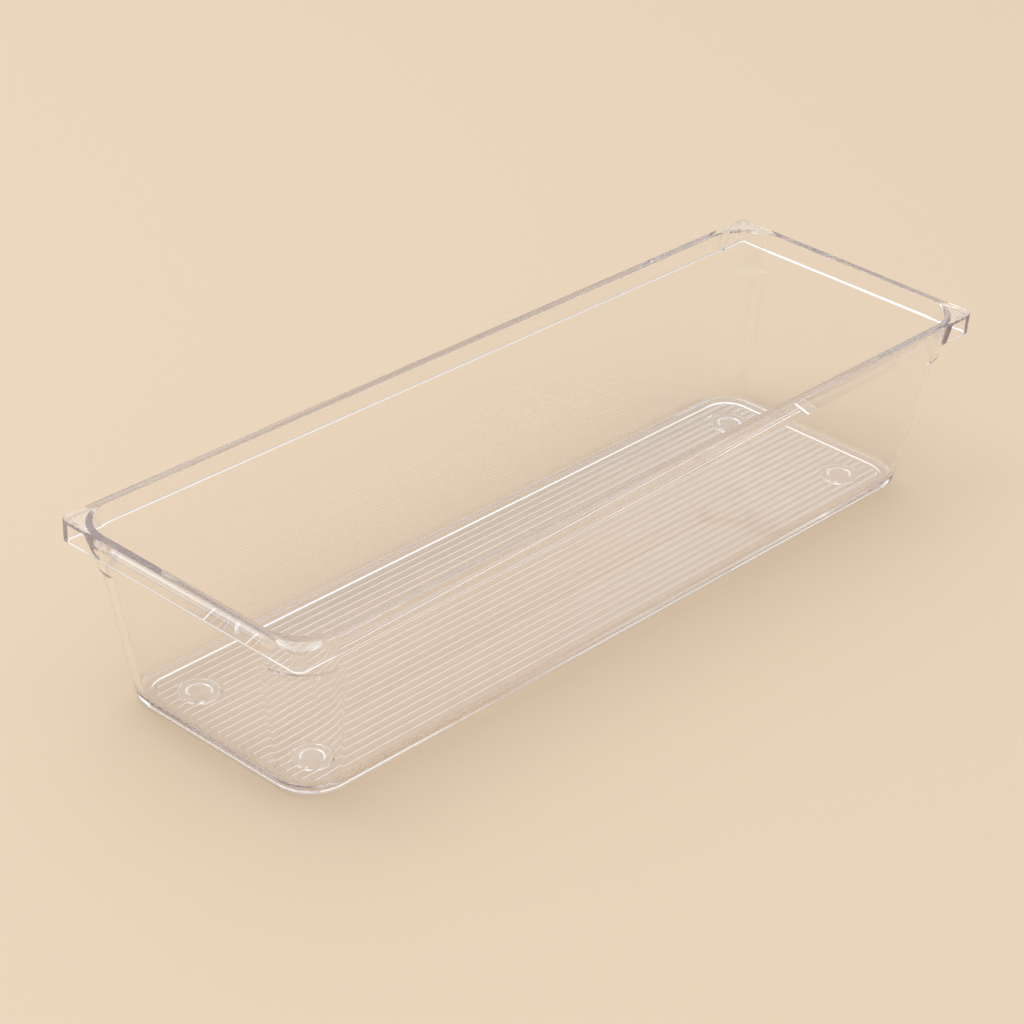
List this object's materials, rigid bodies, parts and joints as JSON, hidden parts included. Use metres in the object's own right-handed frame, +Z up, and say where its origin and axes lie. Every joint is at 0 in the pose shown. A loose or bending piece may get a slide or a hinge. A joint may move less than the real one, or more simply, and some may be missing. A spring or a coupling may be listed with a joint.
{
  "type": "pen tray",
  "caption": "Clear moulded drawer tray for pens: long drafted box with a squared rim band, rounded corners, fine ribs under the floor and soft clear feet.",
  "frame": {"origin": "middle of the tray on the plane that the feet stand on", "axes": "+X along the tray, +Y across it, +Z up out of the opening"},
  "size_m": [0.25, 0.08, 0.05],
  "materials": {
    "clear_tray": "polished clear acrylic",
    "clear_foot": "smooth clear soft polyurethane",
    "clear_adhesive": "clear acrylic adhesive film"
  },
  "bodies": {
    "root": {"tray_body": "clear_tray", "foot_front_left": "clear_foot", "foot_front_right": "clear_foot", "foot_back_left": "clear_foot", "foot_back_right": "clear_foot", "foot_adhesive_front_left": "clear_adhesive", "foot_adhesive_front_right": "clear_adhesive", "foot_adhesive_back_left": "clear_adhesive", "foot_adhesive_back_right": "clear_adhesive"}
  },
  "joints": []
}
